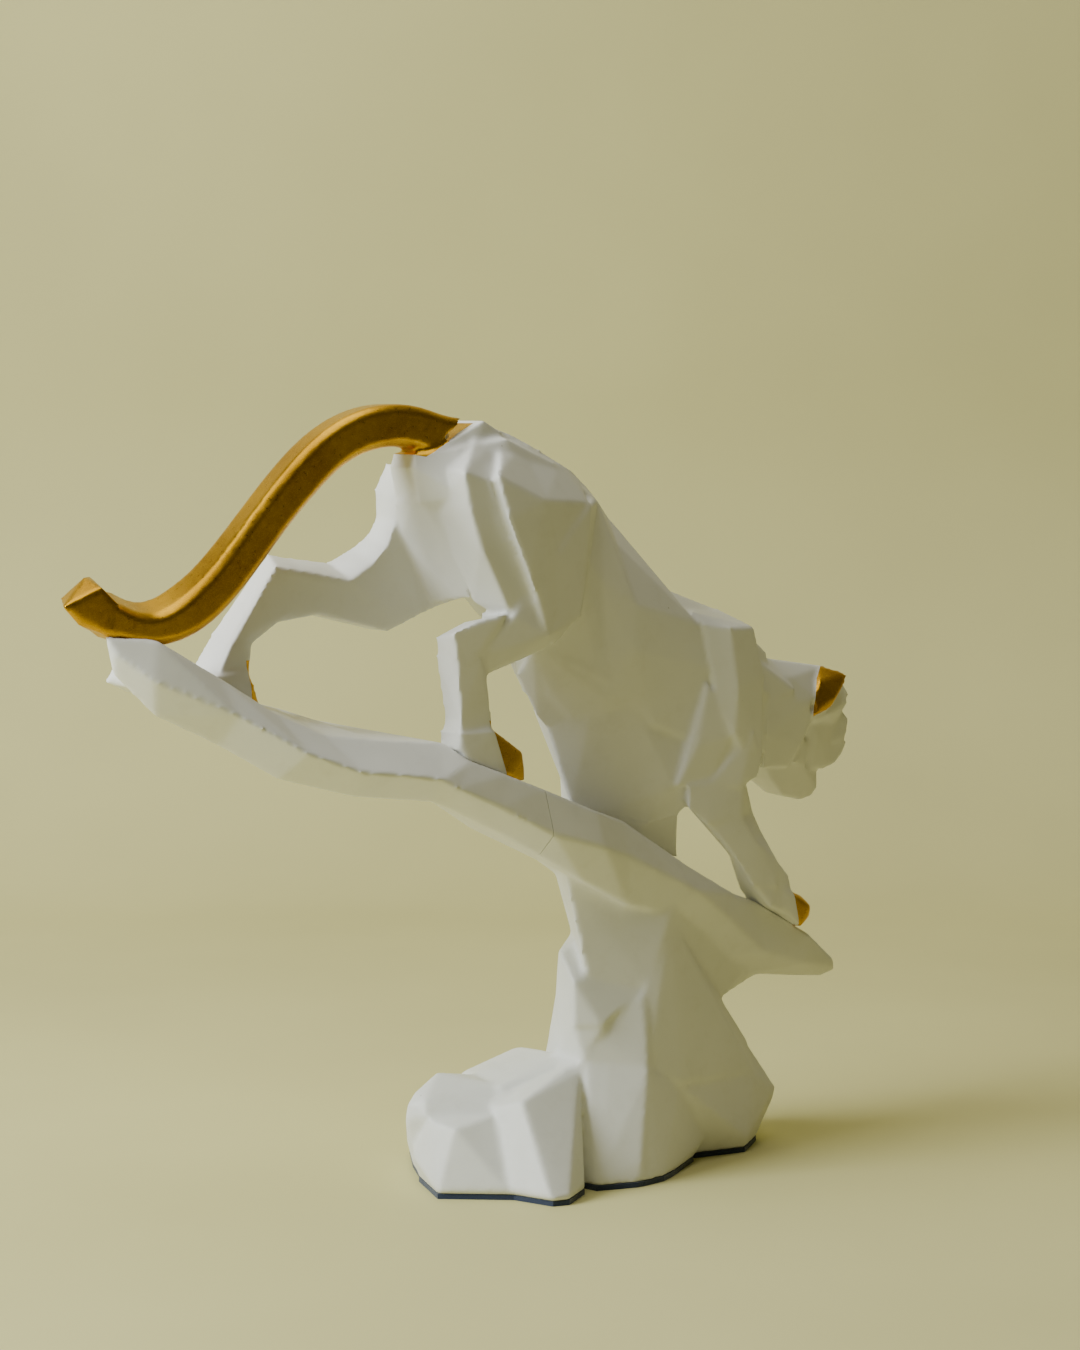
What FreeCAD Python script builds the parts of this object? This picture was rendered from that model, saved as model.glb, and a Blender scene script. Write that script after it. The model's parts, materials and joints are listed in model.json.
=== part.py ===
import FreeCAD, Part
import itertools
import math
import os

# Faceted resin figure: a big cat walking down a ledge of rock. Millimetres, +Z up.
# +X is the way the cat walks, +Y is its left side, the origin is under the middle of the base.

os.makedirs("parts", exist_ok=True)

V = FreeCAD.Vector

# driving dimensions
PAD_THICKNESS = 2.0
TAIL_HALF_WIDTH = 8.0
TAIL_EDGE_BEVEL = 2.5
PLATE_THICKNESS = 3.0
SEAM_X = -44.0
ROD_RADIUS = 2.5
PIN_RADIUS = 1.5
TAIL_PIN_RADIUS = 2.0
FLAT = 1e-6
FUZZ = 1e-4
SCRAP_VOLUME = 2.0


def solid_of(faces):
    """Closes a list of faces into one solid with its outside facing out."""
    shell = Part.makeShell(faces)
    shell.sewShape()
    solid = Part.Solid(shell)
    if solid.Volume < 0:
        solid.reverse()
    return solid


def face_of(corners):
    return Part.Face(Part.makePolygon(list(corners) + [corners[0]]))


def hull(*points):
    """The smallest convex block around the points, as a flat-faced solid."""
    corners = [V(*p) for p in points]
    seen = set()
    faces = []
    for a, b, c in itertools.combinations(range(len(corners)), 3):
        normal = (corners[b] - corners[a]).cross(corners[c] - corners[a])
        if normal.Length < 1e-3:
            continue
        normal.normalize()
        heights = [(p - corners[a]).dot(normal) for p in corners]
        if min(heights) < -FLAT and max(heights) > FLAT:
            continue
        if max(heights) > FLAT:
            normal = normal * -1
        flat = [i for i, h in enumerate(heights) if abs(h) <= FLAT]
        if frozenset(flat) in seen:
            continue
        seen.add(frozenset(flat))
        faces.append(face_of(rim_of([corners[i] for i in flat], normal)))
    return solid_of(faces)


def rim_of(corners, normal):
    """The outer corners of a flat set of points, in order around the normal."""
    along = corners[1] - corners[0]
    along.normalize()
    across = normal.cross(along)
    flat = sorted(((p - corners[0]).dot(along), (p - corners[0]).dot(across), i)
                  for i, p in enumerate(corners))

    def chain(order):
        kept = []
        for q in order:
            while len(kept) > 1 and turn(kept[-2], kept[-1], q) <= 1e-6:
                kept.pop()
            kept.append(q)
        return kept

    lower = chain(flat)
    upper = chain(reversed(flat))
    return [corners[q[2]] for q in lower[:-1] + upper[:-1]]


def turn(p, q, r):
    return (q[0] - p[0]) * (r[1] - p[1]) - (q[1] - p[1]) * (r[0] - p[0])


def chain_of(*rings):
    """Convex blocks from each outline to the next."""
    return [hull(*(list(low) + list(high))) for low, high in zip(rings, rings[1:])]


def fuse(*groups):
    """Joins every block of every group into one solid in a single step."""
    blocks = [block for group in groups for block in group]
    whole = blocks[0].multiFuse(blocks[1:], FUZZ)
    if len(whole.Solids) != 1:
        raise ValueError("the blocks do not all touch: " + str([round(s.Volume) for s in whole.Solids]))
    return whole.Solids[0]


def largest(shape, label):
    """The biggest solid of a cut shape. Loose scraps bigger than a speck stop the build."""
    solids = sorted(shape.Solids, key=lambda solid: -solid.Volume)
    scrap = sum(solid.Volume for solid in solids[1:])
    if scrap > SCRAP_VOLUME:
        raise ValueError(label + " would lose " + str(round(scrap, 1)) + " cubic mm")
    return solids[0]


def both_sides(*stations):
    """Ring of points mirrored about the middle plane, from (x, half width, z) rows."""
    ring = []
    for x, half, z in stations:
        ring.append((x, -half, z))
        if half > 0:
            ring.append((x, half, z))
    return ring


# ---------------------------------------------------------------- the cat's trunk
TRUNK = [
    both_sides((-84, 7, 281), (-85, 8.5, 276), (-82, 8, 263)),
    both_sides((-66, 0, 287), (-68, 13, 283), (-71, 21, 266), (-68, 12, 254)),
    both_sides((-49, 0, 290.4), (-47, 14, 286.4), (-46, 24, 262), (-52, 16, 230)),
    both_sides((-27, 0, 282), (-25, 14, 277), (-22, 20, 250), (-33, 12, 208)),
    both_sides((-1, 0, 268.5), (-3, 12, 262), (-5, 17.5, 232), (-4, 17.5, 209), (-3, 16, 186),
               (-24, 9, 188)),
    both_sides((10, 0, 256), (6, 12, 245.5), (4, 14.5, 235), (9, 21.5, 222), (7.5, 22, 205),
               (8.5, 19.5, 189), (0, 11, 166)),
    both_sides((38, 0, 226.5), (36, 12.5, 218.7), (38, 21.8, 214), (42, 23.4, 196), (36, 21, 168.5),
               (19, 20, 175.5), (24, 10, 158)),
    both_sides((66, 0, 216.5), (66, 14, 210.5), (64, 20, 190), (60, 12, 150)),
    [(86, -6, 199), (86, 14, 199), (88, -10, 180), (88, 16, 180), (84, -4, 154), (84, 12, 154)],
]
trunk = chain_of(*TRUNK)

spine = hull((-54, -6, 292.5), (-54, 6, 292.5), (-41, -8, 288.2), (-41, 7, 287.7), (-28, -9, 282),
             (-28, 8, 281),
             (-14, -9, 274.6), (-14, 6, 273.6), (-4, -7, 266.6), (-2, 0, 268.2), (-50, 0, 276),
             (-16, 0, 262))

# breast, sweeping down from the belly to the left foreleg
breast = [
    hull((-33, -12, 208), (-36, -5, 196), (-27, -5, 180), (-22, -5, 174.5), (-6, -17.4, 206),
         (-5, -15.5, 190),
         (8, -19.3, 188), (8, -17, 180), (-10, -8, 172), (-18, 13, 187), (-30, 6, 200), (0, 14, 180)),
    hull((-22, -5, 175), (-20, -5, 173), (-15.5, -5, 165), (-13, -6, 150), (-12, -7, 144), (2, -11, 140),
         (20, -14, 135), (35, -14, 137), (44, -19, 148), (28, -20.5, 150), (36, -19.5, 168),
         (19, -18.8, 175), (8, -18, 186), (-6, -13.5, 184), (36, 16, 168), (42, 17, 148), (4, 16, 146),
         (-4, 16, 160), (-16, 13, 180)),
]

# ---------------------------------------------------------------- right hind leg (near side)
haunch = [
    # rear panel with its sharp ridge, and the valley in front of it
    hull((-53, -5, 291.5), (-50, -6, 290), (-73.5, -25, 275), (-74.5, -10, 275.5), (-71.5, -26, 261),
         (-67.5, -27, 247), (-55.5, -27, 224), (-75.5, -11, 260.5), (-69.5, -12, 244),
         (-62.5, -14, 225.5), (-63.5, -25.3, 271.5), (-58.5, -26, 256.5), (-50, -26.6, 236.5),
         (-39, -27.2, 213.5), (-43, -7, 288), (-36, -6, 216)),
    # crest in front of the valley and the broad outer panel
    hull((-43.5, -6, 289), (-61, -28.6, 273.5), (-57, -30.5, 256.5), (-48, -30.5, 236.5), (-38, -29, 213),
         (-60, -24, 271), (-55, -24, 256), (-46, -24, 236), (-37, -10, 284.5), (-39, -28.6, 263.5),
         (-33, -27.2, 245), (-30, -26.5, 225), (-36, -26, 210), (-40, -8, 240)),
    # crest to the front edge, behind the fold
    hull((-37, -10, 284.5), (-34.5, -10, 284), (-39, -28.4, 263.5), (-21, -12, 277), (-11.5, -12, 270.5),
         (-13, -20.5, 262), (-33, -26.9, 245), (-32, -20, 244), (-30, -8, 250), (-24, -22, 254)),
    # lower front panel, from the fold to the front edge
    hull((-31.5, -27, 244), (-13, -21.5, 261), (-4.5, -14, 262.5), (-8, -14, 264), (-17.5, -23.5, 243),
         (-19, -24.5, 222.5), (-20, -25, 219), (-34, -26.5, 208.5), (-39, -28.6, 214), (-46, -29.5, 236),
         (-36, -8, 214), (-16, -8, 226), (-20, -8, 258)),
    # knee and the lower end of the thigh
    hull((-54, -28.4, 220.5), (-46, -26.8, 229), (-38, -29, 213), (-19, -24.5, 222), (-25, -25.5, 215.5),
         (-38.5, -26.5, 207), (-64.5, -26, 199), (-67.5, -27.6, 206.5), (-30, -8, 216), (-56, -12, 203),
         (-57, -12, 221)),
]
near_shank = [
    hull((-79, -14, 213), (-80.5, -28, 215.5), (-69.5, -28, 219.5), (-56, -28.6, 222), (-66, -13, 218),
         (-54, -13, 219), (-70.5, -28, 204), (-78, -28, 200), (-78, -14, 200), (-66, -13, 200),
         (-57, -20, 218)),
    hull((-79, -14, 206), (-79, -28, 206), (-68, -28, 205), (-64.5, -26.5, 200), (-65, -13, 202),
         (-75, -14, 182), (-77, -28, 182), (-63, -27, 184), (-63, -13, 184)),
    hull((-75, -14, 184), (-77, -28, 184), (-63, -27, 185), (-63, -13, 185), (-78, -15, 172),
         (-79, -29, 172), (-62, -28, 168), (-60, -12, 170)),
    hull((-78, -15, 178), (-78, -29, 178), (-63, -29, 178.5), (-62, -12, 178), (-76, -30, 168),
         (-76, -12, 168), (-55, -26.5, 173.5), (-54, -12, 173.5), (-46.5, -24, 168.5), (-44.5, -17, 169),
         (-45.5, -24, 158), (-44, -16, 160), (-58, -30, 158), (-56, -12, 158)),
]

# ---------------------------------------------------------------- left hind leg (far side)
far_leg = chain_of(
    [(-74, 24, 274), (-78, 22, 277), (-80, 9, 277), (-48, 23, 270), (-48, 8, 240), (-50, 24, 226),
     (-50, 8, 226), (-82, 9, 264), (-82, 24, 267)],
    [(-82, 9, 256), (-81, 25, 256), (-58, 8, 225), (-58, 27, 225), (-67, 8, 222), (-67, 26, 222)],
    [(-86, 9, 246), (-84, 26, 250), (-67, 8, 222), (-67, 27, 222), (-79, 8, 217), (-79, 27, 217)],
    [(-92, 9, 240), (-91, 26, 245), (-79, 8, 217), (-79, 27, 217), (-85, 10, 214), (-85, 26, 214)],
    [(-102, 9, 234), (-102, 26, 240), (-91, 10, 215.5), (-91, 26, 215.5), (-99, 11, 218),
     (-99, 25, 218)],
    [(-122, 9, 238), (-121, 25, 242.5), (-111, 10, 222), (-111, 25, 222), (-126, 11, 224),
     (-126, 24, 224)],
    [(-134, 9, 240), (-129, 24, 244), (-125, 10, 224), (-125, 24, 224), (-138, 10, 233),
     (-137, 23, 235), (-134, 11, 219), (-134, 23, 219)],
    [(-153, 9, 212), (-153, 24, 215), (-143, 11, 212), (-143, 22, 212), (-148, 9, 217)],
    [(-159, 9, 200), (-161, 25, 203), (-145, 10, 200), (-145, 24, 200), (-158, 9, 194)],
)
# inner thigh between the legs
crotch = hull((-83, -6, 266), (-77, -10, 262), (-72, -11, 250), (-66, -12, 238), (-61, -10, 227),
              (-83, 8, 262),
              (-80, 9, 250), (-67, 8, 224), (-58, 8, 226), (-50, 8, 240), (-50, -8, 240), (-60, 0, 262))
far_hind_paw = hull((-160, 7, 201), (-161, 25, 203), (-146, 9, 202), (-146, 24, 202),
                    (-163, 7, 193), (-163, 26, 194), (-144, 8, 197), (-144, 25, 197),
                    (-141, 10, 190), (-141, 24, 190), (-142, 10, 178), (-142, 24, 178),
                    (-156, 7, 186), (-154, 26, 186))

# ---------------------------------------------------------------- shoulders and forelegs
near_shoulder = [
    # top plate
    hull((39, -18, 218), (46, 0, 221), (66, 0, 217), (65, -24.5, 211.3), (64, -8, 208),
         (51, -26, 212), (41, -23, 213),
         (44, -8, 200), (62, -8, 200)),
    # blade with its left-facing strip and broad front panel
    hull((41, -23, 213), (44, -24.5, 195), (46, -25, 182), (52.5, -26.4, 169), (51, -27, 212),
         (54, -28.3, 188), (53.5, -27.4, 170), (65, -24.5, 211), (70, -25, 192), (69, -25, 157),
         (66, -24.6, 151.5), (62, -26.2, 164), (46, -6, 214), (64, -6, 212), (66, -6, 158),
         (70, -6, 188), (50, -6, 180)),
    # left fold of the shoulder
    hull((42, -24.5, 190), (37, -24.6, 166), (28.5, -22, 149.5), (44, -23.2, 151), (53, -25.8, 169),
         (46, -24.6, 183), (37, -12, 180), (30, -8, 152), (46, -6, 152), (50, -6, 180)),
    # lower fold in front of it
    hull((63, -27, 169), (69, -25, 157), (66.5, -25, 151), (57.5, -25.5, 148), (44, -24, 150.5),
         (50, -22, 160), (58, -8, 149), (64, -8, 164), (46, -8, 152)),
    # bed of the valley between the two folds
    hull((53, -25.2, 168.5), (60, -25.6, 163), (46, -23.2, 153), (56, -24.6, 152), (50, -10, 160),
         (58, -10, 160)),
]
far_shoulder = hull((42, 20, 210), (62, 20, 206), (66, 25, 188), (40, 25, 182), (66, 22, 152),
                    (46, 24, 148), (28, 22, 150), (44, 8, 196), (48, 8, 150), (62, 8, 196))
near_foreleg = [
    hull((33, -23, 150), (45, -24.2, 151), (60, -25, 149.5), (65, -19, 150), (50, -10, 152),
         (64, -10, 152),
         (36, -12, 148), (33.5, -23, 141), (46, -12, 136), (52, -24.5, 145), (42, -24, 133.5),
         (59, -24.6, 136), (70, -18, 136), (54, -11, 128), (70, -10, 134)),
    hull((42, -23.6, 134), (50, -24, 128), (46, -11, 136), (59, -24.6, 136), (70, -18, 136),
         (70, -10, 134),
         (58.5, -24, 117), (66, -24.6, 126), (75, -18, 127), (65, -11, 117), (75, -10, 126)),
    hull((58, -24, 118), (66, -24.6, 126), (75, -18, 127), (63, -11, 119), (75, -10, 126),
         (66, -24, 107), (69, -11, 104), (79, -23, 116), (83, -18, 113), (83, -11, 113),
         (78, -24, 106)),
    hull((66, -24, 107.5), (69, -11, 104), (79, -23, 116), (83, -18, 113), (82, -11, 113),
         (86.5, -21, 109.5),
         (86.5, -12, 107.5), (89, -20, 102), (88, -12, 101), (75, -24, 98), (75, -11, 96),
         (88, -22, 92), (88, -12, 92)),
    hull((84, -23, 103.5), (86, -12, 102), (94, -19, 100.5), (94, -14, 99.5), (103, -15, 94.5),
         (98.5, -20.5, 95.5), (98, -20.5, 91.5), (102, -14, 89), (92, -22.5, 88), (94, -12, 86),
         (80, -23, 98), (80, -12, 94)),
]
far_foreleg = [
    hull((-8, -4, 156), (0, 18, 158), (-12, -6, 143), (5, 19, 142), (40, -8, 146), (42, 18, 144),
         (40, -6, 131), (41, -6, 119), (42, 18, 118), (20, -12, 142), (18, -12, 130), (3, 20, 134),
         (-10, -8, 136)),
    hull((38, -14, 152), (50, -14, 146), (38, 10, 152), (50, 8, 144), (42, -8, 138.5), (44, 8, 136),
         (30, -10, 140)),
    hull((28, 4, 148), (32, 20, 148), (26, 4, 120), (28, 22, 120), (44, 8, 134), (44, 20, 134),
         (44, 8, 114), (44, 20, 114)),
    hull((38, 8, 126), (38, 21, 126), (48, 9, 121), (48, 20, 121), (52, 10, 114), (52, 19, 114),
         (52, 10, 104), (52, 19, 104), (34, 7, 118), (34, 22, 118)),
]

# ---------------------------------------------------------------- neck, head and ears
neck = hull((60, -10, 208), (60, 12, 208), (84, -8, 190.5), (90, -3, 196), (90, 14, 196), (84, 20, 190.5),
            (96, -12, 184), (96, 22, 184), (96, -8, 152), (96, 18, 150), (60, -12, 170), (60, 14, 170))
head = [
    # top of the head, with a wide slanting facet down to the cheek
    hull((90, -2, 196), (90, 14, 196), (122, 0, 191), (122, 12, 191), (84, -8, 190.5), (84, 20, 190.5),
         (97, -9, 188.5), (97, 21, 188.5), (104, -11, 179), (104, 23, 179), (109, -11, 178.5),
         (109, 23, 178.5), (82, -12, 182), (82, 24, 182), (96, 0, 170), (96, 12, 170), (120, 6, 174)),
    # ruff behind the cheek
    hull((82, -12, 182), (105.5, -11.5, 178), (106.5, -10.5, 169.5), (104, -10.3, 168.5),
         (102, -10, 160.5),
         (96.5, -8, 151.5), (83, -9, 152), (82, -12, 166), (82, 24, 182), (105.5, 23.5, 178),
         (106.5, 22.5, 169.5), (102, 22, 160.5), (96.5, 20, 151.5), (83, 21, 152), (106, 6, 150),
         (107, -6, 166), (107, 18, 166)),
    # forehead and brow
    hull((104, -8, 180), (104, 20, 180), (106, -10.5, 170), (106, 22.5, 170), (121, -3, 190),
         (121, 15, 190), (131, 0, 185.5), (131, 12, 185.5),
         (137, 3, 180), (137, 9, 180), (134, -1, 175), (134, 13, 175), (118, -8, 172), (118, 20, 172),
         (128, 0, 166), (128, 12, 166)),
    # tuft over the brow
    hull((130, 0, 178), (130, 12, 178), (138.5, 3, 178.5), (138.5, 9, 178.5), (135, 2, 173.5),
         (135, 10, 173.5),
         (136, 3, 180), (136, 9, 180)),
    # cheek and side of the muzzle
    hull((108, -8, 172), (108, 20, 172), (116.5, -6, 173), (116.5, 18, 173), (114, -6, 162.5),
         (114, 18, 162.5), (110, -6, 162), (110, 18, 162), (109, -3, 149), (109, 15, 149),
         (113.5, -3, 149.5), (113.5, 15, 149.5), (125, 1, 148.5), (125, 11, 148.5), (133, 1, 172),
         (133, 11, 172)),
    # muzzle
    hull((128, 0, 173), (128, 12, 173), (133.5, 1.5, 172), (133.5, 10.5, 172), (137.3, 2, 168),
         (137.3, 10, 168), (136.6, 1.5, 163), (136.6, 10.5, 163), (135.3, 1.5, 159.8),
         (135.3, 10.5, 159.8), (118, -2, 158), (118, 14, 158)),
    # lip and chin
    hull((135.3, 2, 159.8), (135.3, 10, 159.8), (137.3, 3, 157.8), (137.3, 9, 157.8), (134.5, 2.5, 153),
         (134.5, 9.5, 153), (130.5, 2, 149.6), (130.5, 10, 149.6), (122, 1, 147.5), (122, 11, 147.5),
         (120, -1, 160), (120, 13, 160)),
    # beard
    hull((87.5, -4, 152), (87.5, 16, 152), (92.5, -3, 145.5), (92.5, 15, 145.5), (100.5, 0, 138.5),
         (100.5, 12, 138.5), (111.5, 2, 135.6), (111.5, 10, 135.6), (118, 2.5, 136.6), (118, 9.5, 136.6),
         (120.6, 2, 140), (120.6, 10, 140), (118.6, 1.5, 142.5), (118.6, 10.5, 142.5),
         (120, 1.5, 148), (120, 10.5, 148), (108, -5, 150.5), (108, 17, 150.5), (96, -7, 152),
         (96, 19, 152)),
    # jaw, between the ruff, the cheek and the beard
    hull((104, -6.5, 154), (108, -5, 151), (110, -5.5, 160), (100, -8, 153), (106, -7, 162),
         (104, 18.5, 154),
         (108, 17, 151), (110, 17.5, 160), (100, 20, 153), (106, 19, 162)),
]
RIGHT_EAR = [(120, -1, 191.2), (128, -3.5, 189), (130.5, -5, 187), (129, -6, 184.5), (119.5, -11, 179.5),
             (117, -10.5, 174.5), (112.5, -11.5, 173.5), (106.5, -12.5, 172), (109.5, -12, 178),
             (111, -9.5, 185.5), (126, 3, 186), (118, 0, 188), (116, -2, 176)]
HEAD_MIDDLE_Y = 6.0
right_ear = hull(*RIGHT_EAR)
left_ear = hull(*[(x, 2 * HEAD_MIDDLE_Y - y, z) for x, y, z in RIGHT_EAR])

cat_whole = fuse(trunk, breast, haunch, near_shank, far_leg, near_shoulder, near_foreleg,
                 far_foreleg, head, [spine, crotch, far_hind_paw, far_shoulder, neck, right_ear, left_ear])

# ---------------------------------------------------------------- tail
# centre line of the tail: x, z, half height, and how far the top's far edge is raised
TAIL_LINE = [
    (-60, 286.5, 8.0, 0), (-81, 290.5, 8.0, 0), (-94, 291.5, 7.9, 0), (-106, 289, 7.8, 0),
    (-118, 283, 7.6, 0), (-130, 273, 7.6, 0), (-142, 260.5, 7.4, 0), (-154, 246.5, 7.3, 0.5),
    (-166, 233.5, 7.2, 1.5), (-177, 225, 7.0, 2.5), (-189, 220.5, 6.0, 3.5), (-201, 221.5, 6.0, 4.0),
    (-209, 224.5, 6.5, 4.0),
]


def tail_section(index):
    x, z, half, lift = TAIL_LINE[index]
    before = TAIL_LINE[max(index - 1, 0)]
    after = TAIL_LINE[min(index + 1, len(TAIL_LINE) - 1)]
    run = after[0] - before[0]
    rise = after[1] - before[1]
    length = math.hypot(run, rise)
    up_x = rise / length
    up_z = -run / length
    wide = TAIL_HALF_WIDTH
    bevel = TAIL_EDGE_BEVEL
    outline = [(-wide, half - bevel), (bevel - wide, half), (wide - bevel, half + lift),
               (wide, half + lift - bevel), (wide, 1.5 * bevel - half), (wide - 2 * bevel, -half),
               (bevel - wide, -half), (-wide, bevel - half)]
    corners = [V(x + up_x * h, y, z + up_z * h) for y, h in outline]
    return Part.makePolygon(corners + [corners[0]])


tail = Part.makeLoft([tail_section(i) for i in range(len(TAIL_LINE))], True, False)
tail_tip = hull((-208, -8, 218), (-208, 8, 218.5), (-207, -8, 230), (-206, 8, 234),
                (-213, -7, 236), (-215, 3, 239), (-211, 7, 239.5), (-227, -5, 229.5), (-223, 5, 232),
                (-221, -5, 223), (-217, 5, 224))

# ---------------------------------------------------------------- ledge and rock
# stations along the slab: near top, near ridge, near bottom, far bottom, far ridge, far top
SLAB = [
    [(-212, -7, 219), (-210, -10, 213), (-208, -5, 205), (-196, 6, 208), (-193, 10, 214), (-202, 9, 219)],
    [(-194, -12, 217), (-198, -17, 203), (-194, -9, 190), (-180, 14, 194), (-180, 20, 202),
     (-186, 18, 212)],
    [(-171, -14, 203), (-169, -25, 190), (-170, -12, 178), (-162, 12, 182), (-158, 26, 190),
     (-168, 22, 203)],
    [(-150, -18, 189), (-145, -33, 175.5), (-149, -18, 165), (-142, 12, 170), (-138, 31, 178),
     (-146, 24, 191.5)],
    [(-132, -22, 180.5), (-124, -36, 167.5), (-122, -25, 157.5), (-116, 14, 162), (-112, 33, 172),
     (-124, 29, 186)],
    [(-111, -24, 177.5), (-108, -37.2, 165.5), (-107, -26, 155.5), (-100, 15, 160), (-97, 33.5, 167),
     (-106, 29, 180)],
    [(-82, -24, 174.5), (-92, -38.5, 163), (-90, -28, 153.5), (-84, 16, 158), (-80, 34, 162),
     (-80, 28, 172)],
    [(-75, -32, 168), (-86, -39.3, 159.5), (-80, -29, 149), (-73, 17, 153), (-68, 34, 157),
     (-71, 29, 168)],
    [(-60, -34, 162), (-67, -40, 151), (-68, -30, 143), (-60, 18, 146), (-54, 34, 150), (-60, 29, 162)],
    [(-44, -35, 155.5), (-44, -41, 139), (-44, -31, 130), (-44, 16, 135), (-44, 34, 142), (-44, 30, 154)],
    [(-20, -35, 145.5), (-20, -41, 132), (-24, -32, 118), (-16, 16, 122), (-12, 34, 130), (-18, 30, 145)],
    [(-4, -30, 140), (-6, -37, 127.5), (-2, -31, 107), (2, 17, 110), (4, 33.5, 122), (0, 30, 138)],
    [(31, -27, 118.5), (30, -34, 110), (19, -31, 102), (24, 18, 92), (30, 31, 106), (32, 28, 119)],
    [(56, -24, 105), (48, -28.5, 98), (40, -20, 80), (40, 18, 80), (52, 28, 94), (56, 26, 106)],
    [(70, -20, 100), (74, -21, 79), (72, -12, 69), (74, 14, 69), (80, 25, 84), (74, 23, 99)],
    [(100, -18, 83.5), (98, -18, 71.5), (100, -8, 64.5), (102, 10, 65), (108, 18, 71), (104, 16, 83)],
    [(121, -8, 70), (122, -8, 66), (117, -5, 62), (118, 5, 62), (124, 8, 66), (122, 7, 70)],
]
SEAM_STATION = 9
slab_left = chain_of(*SLAB[:SEAM_STATION + 1])
# a corner of stone that stands out behind the ledge's end
slab_corner = hull((-194, 30, 199), (-191, 30, 204), (-189, 24, 206), (-176, 16, 206), (-170, 30, 194),
                   (-186, 29, 195), (-170, 14, 190), (-186, 16, 197))
slab_right = chain_of(*SLAB[SEAM_STATION:])
slab_tip = hull((121, -8, 70), (122, -8, 66), (117, -5, 62), (118, 5, 62), (124, 8, 66), (122, 7, 70),
                (128.5, 0, 65.5), (127, -2, 63))

pillar = [
    # core that fills the pillar between its outer faces
    hull((-15, -14, 86), (-15, -14, 44), (-1, 13, 86), (0, 15, 44), (8, -22, 80), (40, -18, 78),
         (44, 14, 78), (50, -14, 60), (52, 14, 60), (50, -12, 30), (52, 16, 30), (20, -26, 40),
         (18, 24, 76), (24, 24, 34), (0, -26, 40), (-8, 18, 34), (-12, -10, 34)),
    # neck of the pillar under the slab
    hull((-24, -20, 119), (-5, 16, 119), (19, -32, 103), (14, 28, 112), (45, -25, 106), (50, 24, 100),
         (-13, -12, 92), (-13, -22, 92), (-17, -24, 80), (3, 14, 90), (30, 26, 80), (8, -32, 74),
         (35, -26, 79), (54, -18, 62), (54, 16, 66), (76, -14, 76), (76, 12, 76), (80, -8, 67)),
    # broad facet on the right, down from the star to the groove
    hull((19, -31, 100), (35, -26, 79), (54, -18.5, 61), (20, -31.5, 64), (25, -33, 46), (8, -32, 74),
         (54, 14, 62), (16, 24, 80), (40, 20, 90), (4, -32, 70), (21, -34.5, 35), (17, -33.6, 39.3),
         (5, -35.6, 45), (68, -22, 31),
         (71, -14, 42), (62, 20, 46), (26, 28, 40)),
    # bump on the left and the pale blade under it
    hull((-13, -10, 91), (-21.5, -13, 88), (-17, -24, 79), (8, -31.5, 74), (3, 14, 89), (-22, -23, 78),
         (-23, -24, 61), (-14, -30, 61), (-20, -10, 88), (-21.5, -10, 69), (-2, 16, 78),
         (-20.5, -10, 55), (2, 16, 44)),
    hull((8, -31.5, 75), (4, -32.5, 70), (-8.7, -29.6, 53), (-20, -25, 60), (-19, -26.3, 48),
         (-20, -12, 48),
         (2.8, -37.9, 43.4), (16, -32.5, 37), (20, -10, 44), (0, 14, 46), (10, -10, 72), (24, 20, 56)),
    hull((-21, -10, 63), (-22.5, -23, 61), (-13, -30, 61), (-20.5, -10, 48), (-19.5, -25.6, 48),
         (-9, -29.2, 54),
         (0, -28, 58), (0, 0, 62), (0, 4, 44)),
    # lower right boulder under the groove
    hull((21, -33.5, 34), (68, -22, 29.5), (84.5, -16, 21.5), (84, -15, 17), (80, 18, 22), (76, -14, 2),
         (70, -19, 2), (60, -26.5, 2), (60, -28, 6), (46, -20, 2), (44, -25, 8), (66, 18, 2),
         (20, 30, 30),
         (20, 32, 2), (20, -20, 2), (71, -14, 41), (60, -8, 42), (24, 20, 40)),
    hull((-22, -10, 50), (2, 18, 40), (24, 30, 38), (-22, 10, 2), (24, 34, 2), (30, -20, 2),
         (-18, -28, 40), (16, -30, 37), (0, -36, 2), (-28, -22, 2), (30, -24, 38)),
]
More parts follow.
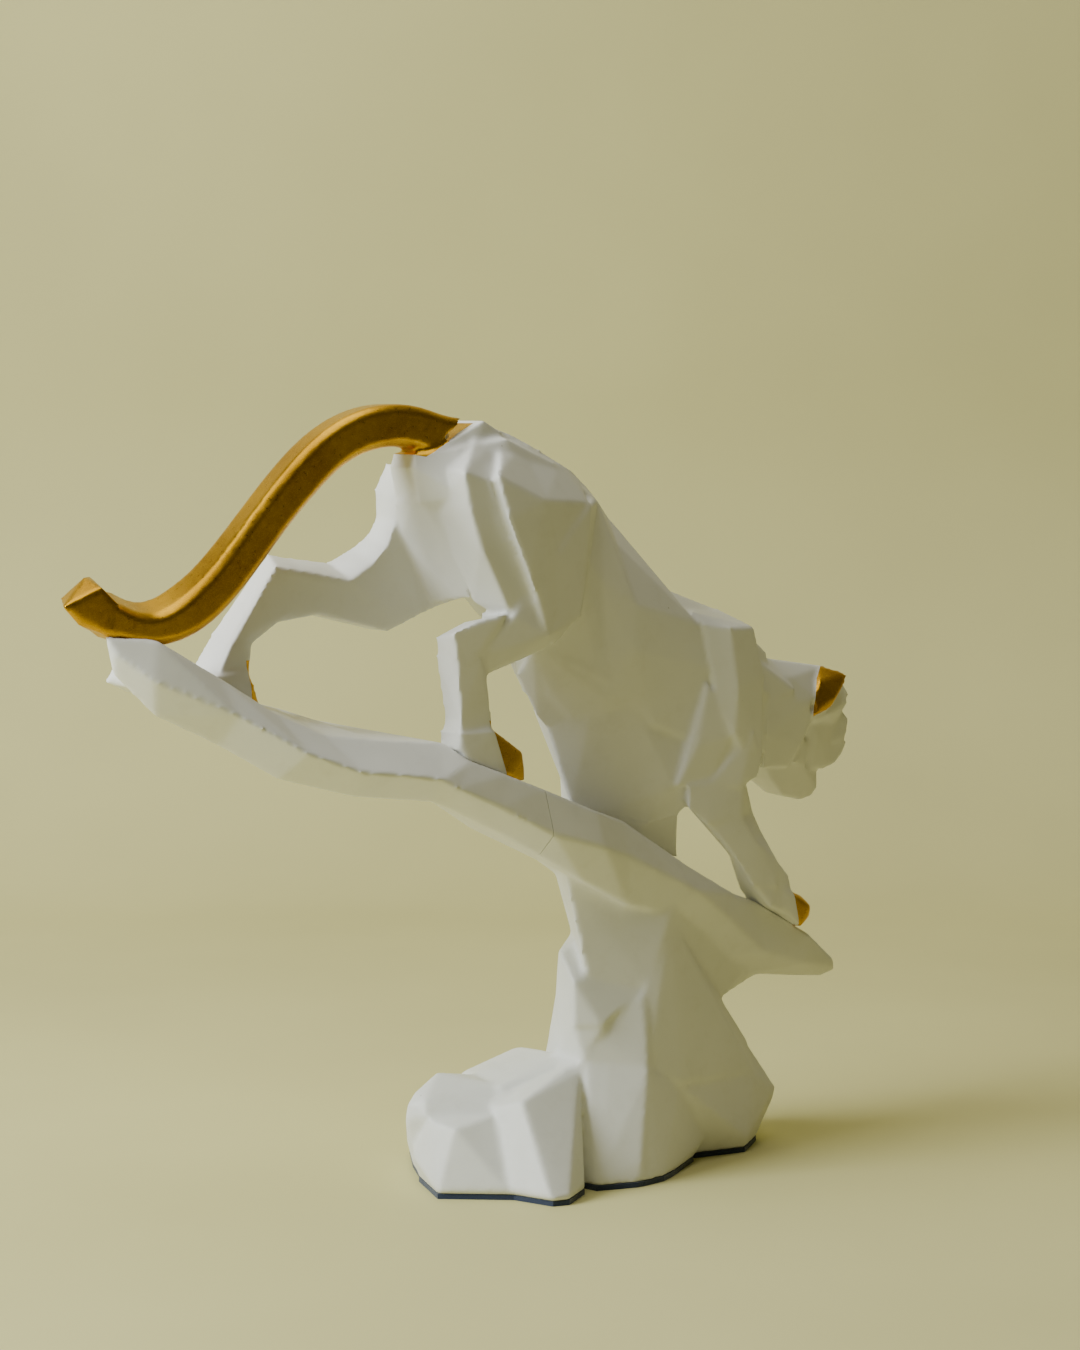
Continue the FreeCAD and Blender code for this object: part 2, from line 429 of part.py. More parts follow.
boulders = [
    # core that ties the boulders together
    hull((-56, -26, 2), (-62, 10, 2), (-50, 40, 2), (-10, 46, 2), (24, 36, 2), (50, 14, 2),
         (50, -18, 2), (0, -34, 2), (-50, -20, 24), (-50, 10, 28), (-30, 30, 30), (0, 34, 34),
         (-6, 20, 39), (40, 14, 34), (40, -14, 34), (0, -26, 34)),
    # middle boulder with the pale six-sided face
    hull((-8.5, -29.4, 52.7), (2.8, -38.2, 43.5), (-18.5, -26.1, 47.1), (-22.4, -38.9, 3.5),
         (-5.5, -45, 10.3), (-24, -41, 2), (-8, -45.6, 2), (-4, -45.5, 2), (0, -30, 2), (2, -43, 3),
         (9, -34, 36), (-20, -18, 46), (-30, -20, 2), (10, -20, 40), (-8, -16, 51)),
    # leaf-shaped boulder between it and the right one
    hull((2.8, -38, 43.3), (16.5, -32.5, 37.5), (21.5, -33, 33.5), (13, -37.5, 18), (2, -44.5, 4),
         (-4, -45.5, 2),
         (6, -44, 2), (12.5, -40.7, 2), (-1, -41, 9), (34, -26.5, 2), (39, -27, 8), (10, -20, 30),
         (24, -14, 2), (-8, -30, 2), (30, -26, 24)),
    # front boulder
    hull((-50, -28, 36), (-23.5, -22, 45), (-20.5, -25, 43), (-46, -19, 35.5), (-55, -17, 32),
         (-56, -24, 19),
         (-59, -35, 4), (-57.5, -33, 2), (-50, -43, 12.5), (-52, -50.5, 3.5), (-50.5, -49.5, 2),
         (-44, -51, 2), (-44, -51.5, 3.5), (-32, -44, 4), (-30.5, -42, 2), (-25, -20, 2), (-26, -12, 42),
         (-40, -10, 38)),
    # front left boulder with the four-sided face
    hull((-72.5, -16, 26), (-57.5, -18, 29.3), (-58, -27, 13), (-60, -33.5, 4), (-57.5, -33, 2),
         (-54, -36, 2), (-76.5, -4, 28),
         (-80, 2, 13), (-80.5, -17, 3.5), (-80, -15.5, 2), (-72, 10, 2), (-50, -12, 30), (-50, -20, 2),
         (-72, 12, 22), (-50, 10, 28), (-60, 20, 2)),
    # left cluster
    hull((-75.5, 0, 35), (-79.5, 6, 32.5), (-80.5, 6, 26.5), (-77, -3, 28.5), (-53.5, -12, 33.5),
         (-56, -17, 29), (-63.5, 10, 42), (-75, 8, 36), (-47.5, 8, 39.5), (-46, -8, 38), (-74, 16, 24),
         (-71, 20, 14), (-53, 46, 2), (-62, 30, 2), (-70, 12, 2), (-76, 8, 8), (-52, 32, 26),
         (-30, 20, 2)),
    hull((-48, -10, 38), (-47.5, 8, 39.8), (-22.5, 15, 46), (-17.5, 13, 45), (-14, 0, 43),
         (-20, -10, 47.5),
         (-26, -16, 44), (-42, 24, 37), (-20, 34, 30), (-52, 48, 4), (-52, 48, 2), (-10, 52, 2),
         (-14, 50, 12), (-48, -12, 34), (-46, 44, 20), (-60, 10, 2), (0, 0, 2)),
    # saddles that close the joints between neighbouring boulders
    hull((-53.5, -12, 33.3), (-46, -8, 37.6), (-46, -19, 35.3), (-55, -17, 31.8), (-50, -10, 20),
         (-40, -12, 36),
         (-44, -8, 20)),
    hull((-26, -16, 43.8), (-20, -10, 47.3), (-23.5, -22, 44.8), (-20.5, -25, 42.8), (-19.5, -25.4, 47),
         (-14, -12, 46), (-18, -16, 30), (-24, -18, 30)),
    # back boulders
    hull((-16, 48, 22), (10, 44, 28), (26, 40, 22), (32, 44, 2), (-16, 55, 2), (12, 54, 2),
         (16, 20, 42), (0, 24, 38), (-20, 20, 2), (30, 10, 2)),
    hull((20, 40, 24), (40, 34, 26), (58, 22, 30), (62, 26, 4), (60, 24, 2), (34, 44, 2),
         (20, 10, 40), (50, 0, 40), (20, 0, 2), (66, 0, 2)),
]
rock_whole = fuse(slab_right, pillar, boulders, [slab_tip])
ledge_whole = fuse(slab_left, [slab_corner])

# ---------------------------------------------------------------- joints between the castings
# the tail meets the rump on a plain slanting joint
rump_side = hull((-54, -20, 293.5), (-54, 20, 293.5), (-80, -20, 280), (-80, 20, 280),
                 (-40, -20, 280), (-40, 20, 280), (-66, -20, 266), (-66, 20, 266),
                 (-54, -20, 300), (-54, 20, 300), (-30, -20, 300), (-30, 20, 300))
tail = largest(tail.cut(rump_side).fuse(tail_tip), "tail")
tail_root_filler = hull((-54, -9, 293.5), (-54, 9, 293.5), (-80, -9, 280), (-80, 9, 280),
                        (-46, -9, 289), (-46, 9, 289), (-60, -12, 276), (-60, 12, 276),
                        (-79, -8, 270), (-79, 8, 270))
cat_whole = largest(fuse([cat_whole, tail_root_filler]).cut(tail), "cat at the tail joint")
ledge_whole = ledge_whole.cut(tail)
rock_faces = rock_whole.fuse(ledge_whole)
# small nick in the flank, just ahead of the thigh
flank_nick = hull((-18, -27, 213.5), (-18, -16, 212), (-18, -27, 211), (-9, -26, 209.8), (-9, -17, 208.6),
                  (-9, -26, 207.6))
cat_whole = cat_whole.cut(rock_faces).cut(flank_nick)
cat_whole = largest(cat_whole, "cat")


def toe_block(top_x, top_z, low_x, low_z, reach, near, far):
    """Block ahead of a slanting paint line, used to part the gold toes from a paw."""
    return hull((top_x, near, top_z), (top_x, far, top_z), (low_x, near, low_z), (low_x, far, low_z),
                (top_x + reach, near, top_z), (top_x + reach, far, top_z),
                (low_x + reach, near, low_z), (low_x + reach, far, low_z))


GOLD_BLOCKS = {
    "gold_toes_right_hind": toe_block(-64, 182, -53.5, 150, 30, -34, -6),
    "gold_toes_left_hind": toe_block(-146.5, 206, -142.8, 174, 16, 3, 30),
    "gold_toes_right_fore": toe_block(86.5, 112, 92, 84, 24, -30, -4),
    "gold_toes_left_fore": toe_block(45.5, 126, 44, 100, 20, 4, 26),
}
gold = {}
for name, block in GOLD_BLOCKS.items():
    gold[name] = largest(cat_whole.common(block), name)
    cat_whole = cat_whole.cut(gold[name])
bare_head = fuse(head, [neck])
for name, ear in (("gold_ear_right", right_ear), ("gold_ear_left", left_ear)):
    gold[name] = largest(ear.cut(bare_head), name)
    cat_whole = cat_whole.cut(gold[name])
cat_casting = largest(cat_whole, "cat casting")

# ---------------------------------------------------------------- hollow rock, plate, ballast, pad
hollow = hull((-40, -18, 0), (-34, 20, 0), (-8, 32, 0), (18, 22, 0), (50, 8, 0), (48, -10, 0),
              (10, -22, 0), (-18, -22, 0), (-34, -12, 20), (-26, 16, 18), (0, 18, 25), (44, 6, 20),
              (44, -8, 20), (10, -20, 28), (-4, -20, 28))
upper_hollow = hull((2, -18, 18), (2, 10, 18), (42, -8, 18), (40, 6, 18), (8, -18, 78),
                    (14, 6, 78), (36, -12, 72), (36, 6, 72))
plate_outline = [(-46, -22), (-40, 25), (-9, 38), (20, 28), (55, 12), (53, -13), (11, -27), (-20, -26)]
plate_rim = [V(x, y, PAD_THICKNESS) for x, y in plate_outline]
plate_space = face_of(plate_rim).extrude(V(0, 0, PLATE_THICKNESS))
rock_casting = rock_whole.cut(hollow).cut(upper_hollow).cut(plate_space)
bottom_plate = plate_space
ballast_block = hollow.common(Part.makeBox(90, 50, 14, V(-38, -24, PAD_THICKNESS + PLATE_THICKNESS)))
underside = [f for f in rock_whole.Faces if abs(f.BoundBox.ZMax - PAD_THICKNESS) < 0.01]
pad_pieces = [f.extrude(V(0, 0, -PAD_THICKNESS)) for f in underside]
resting_faces = [f for f in fuse(pad_pieces).removeSplitter().Faces if abs(f.BoundBox.ZMax) < FLAT]
if len(resting_faces) != 1:
    raise ValueError("the felt pad is not one sheet")
# one sheet cut to the outer line, also where the stone above it has a small hollow
felt_pad = Part.Face(resting_faces[0].OuterWire).extrude(V(0, 0, PAD_THICKNESS))

# ---------------------------------------------------------------- hidden pins
rod = Part.makeCylinder(ROD_RADIUS, 60, V(SEAM_X - 30, -6, 154), V(60, 0, -24))
tail_pin = Part.makeCylinder(TAIL_PIN_RADIUS, 18, V(-77, 0, 290), V(18, 0, -9))
right_hind_pin = Part.makeCylinder(PIN_RADIUS, 22, V(-68, -22, 184), V(-4, 0, -22))
left_hind_pin = Part.makeCylinder(PIN_RADIUS, 22, V(-151, 17, 202), V(-2, 0, -22))
chest_pin = Part.makeCylinder(PIN_RADIUS, 28, V(22, 4, 142), V(0, 0, -28))

parts = {
    "cat_casting": cat_casting.cut(Part.makeCompound([tail_pin, right_hind_pin, left_hind_pin, chest_pin])),
    "tail": tail.cut(tail_pin),
    "rock_casting": rock_casting.cut(Part.makeCompound([rod, chest_pin])),
    "ledge_casting": ledge_whole.cut(Part.makeCompound([rod, right_hind_pin, left_hind_pin])),
    "felt_pad": felt_pad,
    "bottom_plate": bottom_plate,
    "ballast_block": ballast_block,
    "seam_rod": rod,
    "tail_pin": tail_pin,
    "right_hind_pin": right_hind_pin,
    "left_hind_pin": left_hind_pin,
    "chest_pin": chest_pin,
}
parts.update(gold)

for name, shape in parts.items():
    solid = largest(shape, name)
    print(name, solid.isValid(), round(solid.Volume))
    solid.exportStep("parts/" + name + ".step")
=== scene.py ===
import json
import math

import bmesh
import bpy
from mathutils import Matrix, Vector


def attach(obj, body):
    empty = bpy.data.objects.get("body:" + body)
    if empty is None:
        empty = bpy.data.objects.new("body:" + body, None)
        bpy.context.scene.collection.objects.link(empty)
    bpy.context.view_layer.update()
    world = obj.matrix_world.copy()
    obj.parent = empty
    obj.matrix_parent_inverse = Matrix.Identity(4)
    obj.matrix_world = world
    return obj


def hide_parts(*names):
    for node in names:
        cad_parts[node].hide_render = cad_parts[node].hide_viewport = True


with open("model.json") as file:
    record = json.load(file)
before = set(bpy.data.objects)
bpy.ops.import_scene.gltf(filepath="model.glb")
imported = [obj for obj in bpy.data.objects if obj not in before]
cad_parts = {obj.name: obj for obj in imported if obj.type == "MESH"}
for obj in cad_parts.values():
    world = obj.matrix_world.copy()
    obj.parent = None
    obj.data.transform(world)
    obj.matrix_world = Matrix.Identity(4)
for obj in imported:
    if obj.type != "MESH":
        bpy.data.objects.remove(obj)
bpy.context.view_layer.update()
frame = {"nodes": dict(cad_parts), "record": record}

# Looks of a faceted resin cat on a rock ledge: matt white paint, gold tail, ears and toes.
# The castings are softened copies of the CAD solids, parted again at their paint and glue lines.
# Places on the figure are in millimetres until MM turns them into metres; the studio is in metres.

MM = 0.001
WELD_DISTANCE = 0.001 * MM
CAT_VOXEL = 1.0 * MM
STONE_VOXEL = 1.15 * MM
SOFTEN_PASSES = 4
SOFTEN_STRENGTH = 0.5
SHARP_ANGLE = math.radians(50)

# glue line between rock and ledge, and the space that holds the ledge
SEAM_X = -44.0
SEAM_GAP = 0.3
LEDGE_SPACE_LEFT = -300
LEDGE_SPACE_BOTTOM = 90
LEDGE_SPACE_TOP = 320
LEDGE_SPACE_HALF_DEPTH = 90

GOLD_EARS = ["gold_ear_right", "gold_ear_left"]
EAR_BLOCK_GROWTH = 1.12
# paint lines of the toes: x and z of the line's top, x and z of its foot, length forward, near y, far y
GOLD_TOES = {
    "gold_toes_right_hind": (-64, 182, -53.5, 150, 30, -34, -6),
    "gold_toes_left_hind": (-146.5, 206, -142.8, 174, 16, 3, 30),
    "gold_toes_right_fore": (86.5, 112, 92, 84, 24, -30, -4),
    "gold_toes_left_fore": (45.5, 126, 44, 100, 20, 4, 26),
}
# side outline of the space the tail fills, from its joint at the rump to beyond its tip
TAIL_SPACE = [(-54, 293.5), (-80, 280), (-90, 282), (-100, 268), (-130, 252), (-150, 232),
              (-172, 212), (-190, 206), (-240, 206), (-240, 310), (-54, 310)]
TAIL_SPACE_HALF_DEPTH = 60.0


# ---------------------------------------------------------------- mesh work
def new_object(name, mesh):
    """Puts the mesh into the scene as an object."""
    piece = bpy.data.objects.new(name, mesh)
    bpy.context.scene.collection.objects.link(piece)
    return piece


def joined_nodes(name, nodes):
    """One object holding copies of the CAD nodes' meshes."""
    shape = bmesh.new()
    for node in nodes:
        shape.from_mesh(frame["nodes"][node].data)
    bmesh.ops.remove_doubles(shape, verts=shape.verts, dist=WELD_DISTANCE)
    mesh = bpy.data.meshes.new(name)
    shape.to_mesh(mesh)
    shape.free()
    return new_object(name, mesh)


def apply_modifiers(piece):
    """Makes what the modifiers show the piece's own mesh."""
    bpy.context.view_layer.update()
    depsgraph = bpy.context.evaluated_depsgraph_get()
    mesh = bpy.data.meshes.new_from_object(piece.evaluated_get(depsgraph))
    piece.modifiers.clear()
    piece.data = mesh


def soften(piece, voxel):
    """Joins what overlaps, then rounds the facets' edges and fills the joints with a small fillet."""
    remesh = piece.modifiers.new("remesh", "REMESH")
    remesh.mode = "VOXEL"
    remesh.voxel_size = voxel
    smooth = piece.modifiers.new("smooth", "SMOOTH")
    smooth.factor = SOFTEN_STRENGTH
    smooth.iterations = SOFTEN_PASSES
    apply_modifiers(piece)


def keep_largest(piece):
    """Drops every shell but the one with most points, such as the walls of closed hollows."""
    shape = bmesh.new()
    shape.from_mesh(piece.data)
    unseen = set(shape.verts)
    shells = []
    while unseen:
        start = unseen.pop()
        shell = [start]
        front = [start]
        while front:
            vert = front.pop()
            for edge in vert.link_edges:
                other = edge.other_vert(vert)
                if other in unseen:
                    unseen.remove(other)
                    shell.append(other)
                    front.append(other)
        shells.append(shell)
    shells.sort(key=len)
    for shell in shells[:-1]:
        bmesh.ops.delete(shape, geom=shell, context="VERTS")
    shape.to_mesh(piece.data)
    shape.free()


def hull_block(name, points):
    """Convex block round points given in millimetres."""
    shape = bmesh.new()
    for point in points:
        shape.verts.new(Vector(point) * MM)
    made = bmesh.ops.convex_hull(shape, input=shape.verts)
    spare = [part for part in made["geom_interior"] if isinstance(part, bmesh.types.BMVert)]
    bmesh.ops.delete(shape, geom=spare, context="VERTS")
    bmesh.ops.recalc_face_normals(shape, faces=shape.faces)
    mesh = bpy.data.meshes.new(name)
    shape.to_mesh(mesh)
    shape.free()
    return new_object(name, mesh)


def prism(name, outline, near, far):
    """Closed block with a side outline of (x, z) millimetres, from y near to y far."""
    shape = bmesh.new()
    front = [shape.verts.new(Vector((x, near, z)) * MM) for x, z in outline]
    back = [shape.verts.new(Vector((x, far, z)) * MM) for x, z in outline]
    shape.faces.new(front)
    shape.faces.new(list(reversed(back)))
    for i in range(len(outline)):
        j = (i + 1) % len(outline)
        shape.faces.new((front[j], front[i], back[i], back[j]))
    bmesh.ops.triangulate(shape, faces=shape.faces)
    bmesh.ops.recalc_face_normals(shape, faces=shape.faces)
    mesh = bpy.data.meshes.new(name)
    shape.to_mesh(mesh)
    shape.free()
    return new_object(name, mesh)


def toe_block(name, top_x, top_z, foot_x, foot_z, reach, near, far):
    """Block in front of a paint line, which runs down from its top to its foot."""
    outline = [(top_x, top_z), (foot_x, foot_z), (foot_x + reach, foot_z), (top_x + reach, top_z)]
    return prism(name, outline, near, far)


def ear_block(name):
    """Block round the CAD ear, a little larger so that the softened ear's tip is all inside it."""
    corners = [vert.co.copy() for vert in frame["nodes"][name].data.vertices]
    middle = sum(corners, Vector()) / len(corners)
    grown = [middle + (corner - middle) * EAR_BLOCK_GROWTH for corner in corners]
    return hull_block(name + "_block", [corner / MM for corner in grown])


def parted(piece, name, block, operation):
    """A copy of the piece with the block taken away, or only what is inside the block."""
    copy = new_object(name, piece.data.copy())
    cut = copy.modifiers.new("cut", "BOOLEAN")
    cut.operation = operation
    cut.solver = "MANIFOLD"
    cut.object = block
    apply_modifiers(copy)
    return copy


def remove(piece):
    bpy.data.objects.remove(piece)


def shade_smooth(piece):
    """Smooth shading that stops at edges sharper than SHARP_ANGLE."""
    for polygon in piece.data.polygons:
        polygon.use_smooth = True
    piece.data.set_sharp_from_angle(angle=SHARP_ANGLE)


# ---------------------------------------------------------------- materials
class Nodes:
    """Small helper for building a material's node tree."""

    def __init__(self, name):
        self.material = bpy.data.materials.new(name)
        self.material.use_nodes = True
        self.tree = self.material.node_tree
        self.shader = self.tree.nodes["Principled BSDF"]
        self.place = self.add("ShaderNodeTexCoord").outputs["Object"]

    def add(self, kind, **settings):
        node = self.tree.nodes.new(kind)
        for key, value in settings.items():
            setattr(node, key, value)
        return node

    def link(self, source, target):
        self.tree.links.new(source, target)

    def noise(self, per_mm, detail=4.0, roughness=0.5):
        """Noise with about that many waves per millimetre."""
        node = self.add("ShaderNodeTexNoise")
        node.inputs["Scale"].default_value = per_mm / MM
        node.inputs["Detail"].default_value = detail
        node.inputs["Roughness"].default_value = roughness
        self.link(self.place, node.inputs["Vector"])
        return node.outputs["Fac"]

    def range(self, value, low, high, start=0.3, end=0.7):
        """Turns the values from start to end into values from low to high."""
        node = self.add("ShaderNodeMapRange")
        node.inputs["From Min"].default_value = start
        node.inputs["From Max"].default_value = end
        node.inputs["To Min"].default_value = low
        node.inputs["To Max"].default_value = high
        self.link(value, node.inputs["Value"])
        return node.outputs["Result"]

    def mix(self, factor, first, second):
        """The first where the factor is 0, the second where it is 1. Each is a colour or a socket."""
        node = self.add("ShaderNodeMix", data_type="RGBA")
        self.link(factor, node.inputs["Factor"])
        for value, socket in ((first, node.inputs["A"]), (second, node.inputs["B"])):
            if isinstance(value, tuple):
                socket.default_value = (*value, 1.0)
            else:
                self.link(value, socket)
        return node.outputs["Result"]

    def specks(self, per_mm, size, share):
        """Scattered round dots: 1 inside a dot, 0 elsewhere. share is the part of the cells with one."""
        cells = self.add("ShaderNodeTexVoronoi")
        cells.inputs["Scale"].default_value = per_mm / MM
        self.link(self.place, cells.inputs["Vector"])
        dot = self.add("ShaderNodeMath", operation="LESS_THAN")
        self.link(cells.outputs["Distance"], dot.inputs[0])
        dot.inputs[1].default_value = size
        chosen = self.add("ShaderNodeSeparateColor")
        self.link(cells.outputs["Color"], chosen.inputs["Color"])
        kept = self.add("ShaderNodeMath", operation="LESS_THAN")
        self.link(chosen.outputs["Red"], kept.inputs[0])
        kept.inputs[1].default_value = share
        both = self.add("ShaderNodeMath", operation="MULTIPLY")
        self.link(dot.outputs[0], both.inputs[0])
        self.link(kept.outputs[0], both.inputs[1])
        return both.outputs[0]

    def bump(self, *layers):
        """Surface relief from layers of (height, depth in millimetres), one on the other."""
        normal = None
        for height, depth in layers:
            node = self.add("ShaderNodeBump")
            node.inputs["Distance"].default_value = depth * MM
            node.inputs["Strength"].default_value = 1.0
            self.link(height, node.inputs["Height"])
            if normal is not None:
                self.link(normal, node.inputs["Normal"])
            normal = node.outputs["Normal"]
        self.link(normal, self.shader.inputs["Normal"])

    def set(self, **values):
        """Sets the shader's inputs, named with _ for a space, to sockets, colours or numbers."""
        for key, value in values.items():
            socket = self.shader.inputs[key.replace("_", " ")]
            if hasattr(value, "is_output"):
                self.link(value, socket)
            elif isinstance(value, tuple):
                socket.default_value = (*value, 1.0)
            else:
                socket.default_value = value


def white_paint():
    m = Nodes("white_resin")
    cloud = m.noise(0.02, detail=3)
    paint = m.mix(m.range(cloud, 0, 1), (0.78, 0.785, 0.755), (0.84, 0.84, 0.815))
    grime = m.range(m.noise(0.11, detail=6, roughness=0.65), 0, 0.30, start=0.52, end=0.78)
    paint = m.mix(grime, paint, (0.66, 0.65, 0.60))
    paint = m.mix(m.specks(0.045, size=0.012, share=0.10), paint, (0.10, 0.085, 0.06))
    paint = m.mix(m.specks(0.16, size=0.035, share=0.05), paint, (0.34, 0.31, 0.25))
    m.set(Base_Color=paint, Roughness=m.range(m.noise(0.3, detail=5), 0.42, 0.58))
    m.set(Specular_IOR_Level=0.45)
    m.bump((m.noise(0.035, detail=2), 0.25), (m.noise(0.9, detail=3), 0.012))
    return m.material


def gold_paint():
    m = Nodes("gold_paint")
    cloud = m.noise(0.035, detail=5, roughness=0.6)
    paint = m.mix(m.range(cloud, 0, 1), (0.47, 0.22, 0.010), (0.74, 0.41, 0.022))
    flakes = m.range(m.noise(3.2, detail=2), 0, 0.55, start=0.45, end=0.72)
    paint = m.mix(flakes, paint, (0.95, 0.60, 0.050))
    # painted shade: darker brown patches at random places on the gold, standing in for its shading
    painted_shade_patches = m.range(m.noise(0.16, detail=8, roughness=0.7), 0, 0.6, start=0.62, end=0.80)
    paint = m.mix(painted_shade_patches, paint, (0.28, 0.13, 0.008))
    m.set(Base_Color=paint, Roughness=m.range(m.noise(0.5, detail=4), 0.26, 0.38))
    m.set(Metallic=1.0, Specular_IOR_Level=0.5)
    m.bump((m.noise(0.06, detail=2), 0.20), (m.noise(2.4, detail=3), 0.030))
    return m.material


def navy_felt():
    m = Nodes("navy_felt")
    fibres = m.noise(3.0, detail=6, roughness=0.8)
    felt = m.mix(m.range(fibres, 0, 1), (0.006, 0.012, 0.035), (0.03, 0.055, 0.12))
    m.set(Base_Color=felt, Roughness=0.95, Sheen_Weight=0.35)
    m.bump((fibres, 0.25))
    return m.material


def raw_resin():
    m = Nodes("raw_resin")
    swirl = m.noise(0.06, detail=6, roughness=0.6)
    resin = m.mix(m.range(swirl, 0, 1), (0.56, 0.53, 0.46), (0.72, 0.70, 0.63))
    resin = m.mix(m.specks(0.3, size=0.18, share=0.3), resin, (0.42, 0.40, 0.35))
    m.set(Base_Color=resin, Roughness=m.range(m.noise(0.8), 0.55, 0.75))
    m.bump((m.noise(1.2, detail=5), 0.10))
    return m.material


def plaster():
    m = Nodes("ballast")
    sand = m.noise(1.6, detail=6, roughness=0.8)
    fill = m.mix(m.range(sand, 0, 1), (0.34, 0.31, 0.27), (0.58, 0.55, 0.50))
    m.set(Base_Color=fill, Roughness=0.92)
    m.bump((sand, 0.35))
    return m.material


def drawn_steel():
    m = Nodes("steel")
    lines = m.noise(1.4, detail=3)
    steel = m.mix(m.range(lines, 0, 1), (0.42, 0.42, 0.43), (0.62, 0.62, 0.64))
    rust = m.range(m.noise(0.5, detail=6, roughness=0.7), 0, 0.5, start=0.60, end=0.80)
    steel = m.mix(rust, steel, (0.30, 0.14, 0.06))
    m.set(Base_Color=steel, Metallic=0.9, Roughness=m.range(lines, 0.28, 0.5))
    m.bump((lines, 0.02))
    return m.material


def pale_floor():
    m = Nodes("pale_floor")
    cloud = m.noise(0.004, detail=3)
    cloth = m.mix(m.range(cloud, 0, 1), (0.62, 0.58, 0.27), (0.68, 0.64, 0.30))
    m.set(Base_Color=cloth, Roughness=0.7)
    m.bump((m.noise(0.006, detail=2), 1.0))
    return m.material


FINISH = {
    "white_resin": white_paint(),
    "gold_paint": gold_paint(),
    "navy_felt": navy_felt(),
    "raw_resin": raw_resin(),
    "ballast": plaster(),
    "steel": drawn_steel(),
}


def finish_piece(piece, slot, *nodes):
    """Paints the piece, lets it ride on the body and stand for its CAD nodes."""
    piece.data.materials.clear()
    piece.data.materials.append(FINISH[slot])
    shade_smooth(piece)
    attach(piece, "root")
    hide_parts(*nodes)


# ---------------------------------------------------------------- the cat and its tail
cat = joined_nodes("cat", ["cat_casting", "tail", *GOLD_TOES, *GOLD_EARS])
soften(cat, CAT_VOXEL)
keep_largest(cat)

blocks = {"tail": prism("tail_block", TAIL_SPACE, -TAIL_SPACE_HALF_DEPTH, TAIL_SPACE_HALF_DEPTH)}
for node, sizes in GOLD_TOES.items():
    blocks[node] = toe_block(node + "_block", *sizes)
for node in GOLD_EARS:
    blocks[node] = ear_block(node)

# each block takes its gold piece out of the white skin, which keeps the rest
for node, block in blocks.items():
    gold_piece = parted(cat, node + "_skin", block, "INTERSECT")
    keep_largest(gold_piece)
    finish_piece(gold_piece, "gold_paint", node)
    white = parted(cat, "cat_skin", block, "DIFFERENCE")
    remove(cat)
    cat = white
    remove(block)
cat.name = "cat_skin"
keep_largest(cat)
finish_piece(cat, "white_resin", "cat_casting")

# ---------------------------------------------------------------- the rock and its ledge
def ledge_space(name, end_x):
    """Block that fills the space left of end_x and above the boulders."""
    outline = [(LEDGE_SPACE_LEFT, LEDGE_SPACE_BOTTOM), (end_x, LEDGE_SPACE_BOTTOM),
               (end_x, LEDGE_SPACE_TOP), (LEDGE_SPACE_LEFT, LEDGE_SPACE_TOP)]
    return prism(name, outline, -LEDGE_SPACE_HALF_DEPTH, LEDGE_SPACE_HALF_DEPTH)


# the plate and the ballast are joined in to close the bottom of the hollow rock's outer skin
stone = joined_nodes("stone", ["rock_casting", "ledge_casting", "bottom_plate", "ballast_block"])
soften(stone, STONE_VOXEL)
keep_largest(stone)
ledge_block = ledge_space("ledge_block", SEAM_X - SEAM_GAP / 2)
other_block = ledge_space("other_block", SEAM_X + SEAM_GAP / 2)
ledge = parted(stone, "ledge_skin", ledge_block, "INTERSECT")
rock = parted(stone, "rock_skin", other_block, "DIFFERENCE")
for spare in (ledge_block, other_block, stone):
    remove(spare)
keep_largest(ledge)
keep_largest(rock)
finish_piece(ledge, "white_resin", "ledge_casting")
finish_piece(rock, "white_resin", "rock_casting")

# ---------------------------------------------------------------- the carried-over CAD nodes
for part in frame["record"]["subparts"]:
    node = frame["nodes"][part["node"]]
    if not node.hide_render:
        node.data.materials.clear()
        node.data.materials.append(FINISH[part["material_slot"]])

# ---------------------------------------------------------------- floor, light, camera
VIEW_TURN = math.radians(-35)
FLOOR_FRONT = -2.6
WALL_DISTANCE = 0.86
COVE_RADIUS = 0.30
COVE_STEPS = 24
WALL_TOP = 2.4
STAGE_HALF_WIDTH = 2.6

CAMERA_PLACE = (-0.68606, -0.94859, 0.301)
CAMERA_DROP = math.radians(5.2375)
CAMERA_LENS = 80.0
SENSOR_WIDTH = 36.0
ROOM_COLOUR = (0.80, 0.74, 0.34)
ROOM_STRENGTH = 0.10


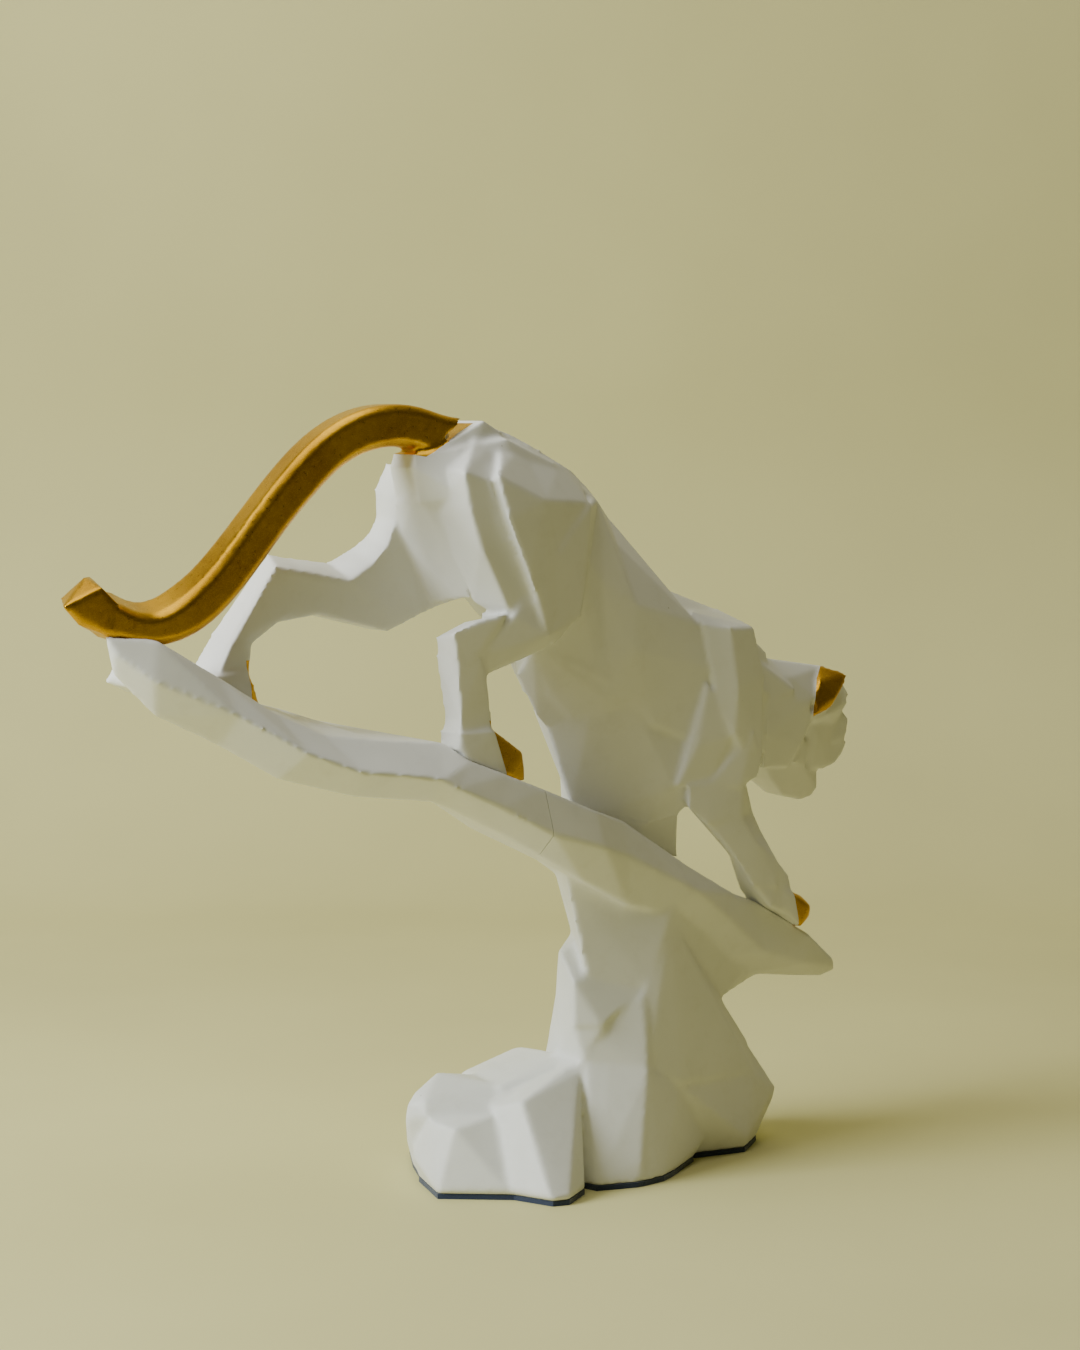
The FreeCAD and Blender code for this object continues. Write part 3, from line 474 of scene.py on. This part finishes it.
def studio_floor():
    """Cloth on the table that sweeps up behind the figure into the wall."""
    side = [(FLOOR_FRONT, 0.0)]
    for step in range(COVE_STEPS + 1):
        angle = math.radians(90) * step / COVE_STEPS
        side.append((WALL_DISTANCE - COVE_RADIUS + COVE_RADIUS * math.sin(angle),
                     COVE_RADIUS - COVE_RADIUS * math.cos(angle)))
    side.append((WALL_DISTANCE, WALL_TOP))
    points = [(x, y, z) for y, z in side for x in (-STAGE_HALF_WIDTH, STAGE_HALF_WIDTH)]
    faces = [(2 * i, 2 * i + 1, 2 * i + 3, 2 * i + 2) for i in range(len(side) - 1)]
    mesh = bpy.data.meshes.new("floor")
    mesh.from_pydata(points, [], faces)
    sweep = new_object("floor", mesh)
    sweep.rotation_euler = (0, 0, VIEW_TURN)
    sweep.data.materials.append(pale_floor())
    for polygon in mesh.polygons:
        polygon.use_smooth = True


def area_light(name, place, target, size, watts, colour):
    """Round soft light that faces its target."""
    light = bpy.data.lights.new(name, "AREA")
    light.shape = "DISK"
    light.size = size
    light.energy = watts
    light.color = colour
    lamp = bpy.data.objects.new(name, light)
    bpy.context.scene.collection.objects.link(lamp)
    lamp.location = place
    lamp.rotation_euler = (Vector(target) - Vector(place)).to_track_quat("-Z", "Y").to_euler()


studio_floor()
area_light("window", place=(-1.30, 0.20, 0.85), target=(0, 0, 0.16), size=0.9, watts=30.0,
           colour=(0.93, 0.98, 1.0))
area_light("ceiling", place=(-0.30, 0.10, 1.90), target=(0, 0.1, 0), size=1.8, watts=16.0,
           colour=(1.0, 0.97, 0.86))

world = bpy.data.worlds.new("room")
world.use_nodes = True
background = world.node_tree.nodes["Background"]
background.inputs["Color"].default_value = (*ROOM_COLOUR, 1.0)
background.inputs["Strength"].default_value = ROOM_STRENGTH
bpy.context.scene.world = world

camera_data = bpy.data.cameras.new("camera")
camera_data.lens = CAMERA_LENS
camera_data.sensor_width = SENSOR_WIDTH
camera = bpy.data.objects.new("camera", camera_data)
bpy.context.scene.collection.objects.link(camera)
camera.location = CAMERA_PLACE
camera.rotation_euler = (math.radians(90) - CAMERA_DROP, 0, VIEW_TURN)
bpy.context.scene.camera = camera

# ---------------------------------------------------------------- last update of the scene
bpy.context.view_layer.update()
